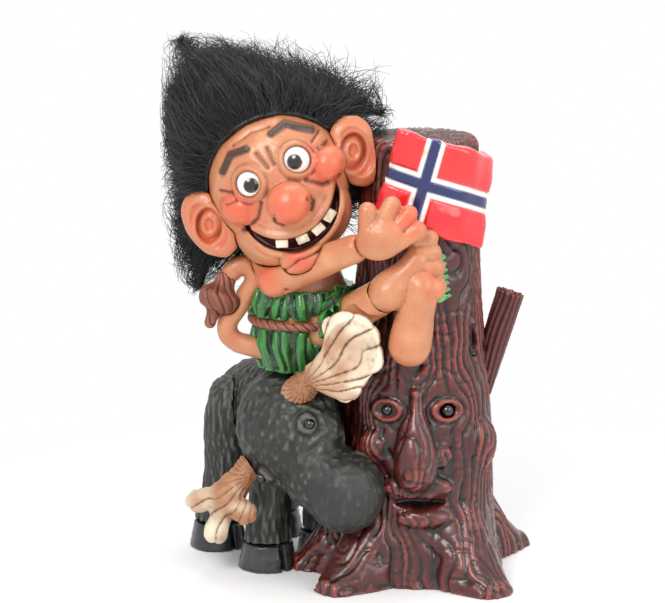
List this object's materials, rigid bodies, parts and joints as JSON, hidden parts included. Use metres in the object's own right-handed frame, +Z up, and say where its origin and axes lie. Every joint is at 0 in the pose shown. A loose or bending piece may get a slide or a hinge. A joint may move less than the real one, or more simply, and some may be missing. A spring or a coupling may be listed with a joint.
{
  "type": "troll figure",
  "caption": "Painted resin souvenir: a fur-haired troll on a moose beside a tree stump with a carved face and a flag.",
  "frame": {"origin": "centre of the stump's flat base, on the ground", "axes": "+Z up, the carved face and the troll's front towards -Y, the moose on the -X side"},
  "size_m": [0.1436, 0.0996, 0.2059],
  "materials": {
    "bark": "gloss",
    "stump_bead": "gloss",
    "flag_paint": "gloss",
    "fern_green": "matt",
    "moose_coat": "matt",
    "hoof": "gloss",
    "moose_bead": "gloss",
    "antler": "matt",
    "troll_skin": "gloss",
    "ear_skin": "gloss",
    "tooth": "gloss",
    "troll_eye": "gloss",
    "tuft_hair": "matt",
    "leaf_skirt": "gloss",
    "rope": "matt",
    "hide": "matt",
    "fur": "matt"
  },
  "bodies": {
    "root": {"fern_sprig": "fern_green", "flag": "flag_paint", "hair_fur": "fur", "hair_hide": "hide", "moose_antler_left": "antler", "moose_antler_right": "antler", "moose_body": "moose_coat", "moose_eye_left": "moose_bead", "moose_eye_right": "moose_bead", "moose_head": "moose_coat", "moose_hoof_front_left": "hoof", "moose_hoof_front_right": "hoof", "moose_hoof_hind_left": "hoof", "moose_hoof_hind_right": "hoof", "moose_leg_front_left": "moose_coat", "moose_leg_front_right": "moose_coat", "moose_leg_hind_left": "moose_coat", "moose_leg_hind_right": "moose_coat", "rope_belt": "rope", "skirt_flap": "leaf_skirt", "skirt_lower": "leaf_skirt", "skirt_upper": "leaf_skirt", "stump_branch": "bark", "stump_eye_left": "stump_bead", "stump_eye_right": "stump_bead", "stump_trunk": "bark", "tail_tuft": "tuft_hair", "troll_ear_left": "ear_skin", "troll_ear_right": "ear_skin", "troll_eye_left": "troll_eye", "troll_eye_right": "troll_eye", "troll_head": "troll_skin", "troll_left_foot": "troll_skin", "troll_left_leg": "troll_skin", "troll_right_arm": "troll_skin", "troll_right_hand": "troll_skin", "troll_tail": "troll_skin", "troll_teeth": "tooth", "troll_torso": "troll_skin"}
  },
  "joints": []
}
